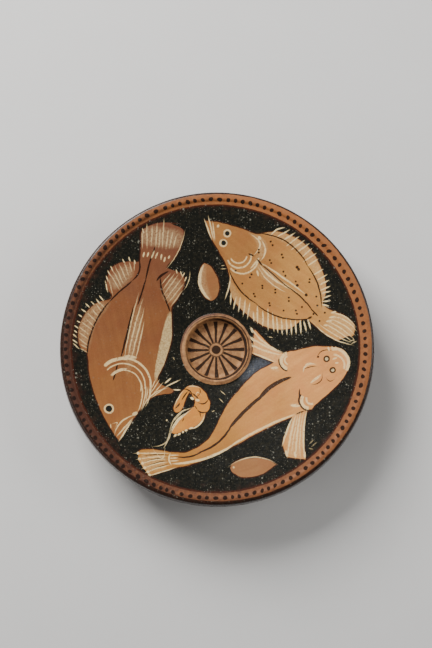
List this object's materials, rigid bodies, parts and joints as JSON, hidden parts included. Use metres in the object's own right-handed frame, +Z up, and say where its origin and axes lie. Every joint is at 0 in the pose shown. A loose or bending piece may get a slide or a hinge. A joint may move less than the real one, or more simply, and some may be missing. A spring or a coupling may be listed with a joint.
{
  "type": "fish plate",
  "caption": "Wheel-thrown clay fish plate with a dotted lip, turned-down rim, sunken sauce well and ring foot, painted with fish on black.",
  "frame": {"origin": "centre of the foot's underside, on the surface that the plate stands on", "axes": "+Z up along the wheel axis, out of the painted side; +Y towards the top of the picture, where the bream's tail is"},
  "size_m": [0.2596, 0.2596, 0.05],
  "materials": {
    "painted_terracotta": "matt orange-brown fired clay under glossy black slip, with dark lines and added cream white"
  },
  "bodies": {
    "root": {"fish_plate": "painted_terracotta"}
  },
  "joints": []
}
